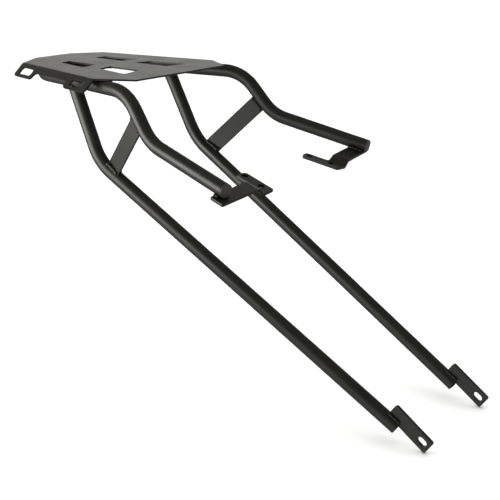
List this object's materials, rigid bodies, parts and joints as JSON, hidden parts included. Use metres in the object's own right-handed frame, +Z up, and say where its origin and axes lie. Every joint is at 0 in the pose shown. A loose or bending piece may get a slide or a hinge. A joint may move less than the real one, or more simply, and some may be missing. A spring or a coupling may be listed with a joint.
{
  "type": "motorcycle rear rack",
  "caption": "Welded steel rear carrier: a slotted, flanged plate on a bent tube hoop with gusseted stays, folded front brackets and slotted lower tabs.",
  "frame": {"origin": "middle of the carrier plate's top face", "axes": "+Z up, square to the plate; +Y forward along the motorcycle, towards the front brackets; +X to the rider's right"},
  "size_m": [0.373, 0.7084, 0.4124],
  "materials": {
    "powder_coat": "black powder coat, satin, on welded steel",
    "cap_plastic": "moulded black plastic, satin"
  },
  "bodies": {
    "root": {"top_plate": "powder_coat", "hoop_tube": "powder_coat", "deck_weld_beads": "powder_coat", "right_front_bracket": "powder_coat", "left_front_bracket": "powder_coat", "right_bracket_weld_beads": "powder_coat", "left_bracket_weld_beads": "powder_coat", "right_gusset": "powder_coat", "left_gusset": "powder_coat", "right_gusset_upper_weld_beads": "powder_coat", "left_gusset_upper_weld_beads": "powder_coat", "right_gusset_lower_weld_beads": "powder_coat", "left_gusset_lower_weld_beads": "powder_coat", "right_stay_tube": "powder_coat", "left_stay_tube": "powder_coat", "right_stay_weld_bead": "powder_coat", "left_stay_weld_bead": "powder_coat", "right_lower_tab": "powder_coat", "left_lower_tab": "powder_coat", "right_tab_weld_beads": "powder_coat", "left_tab_weld_beads": "powder_coat", "right_end_cap": "cap_plastic", "left_end_cap": "cap_plastic"}
  },
  "joints": []
}
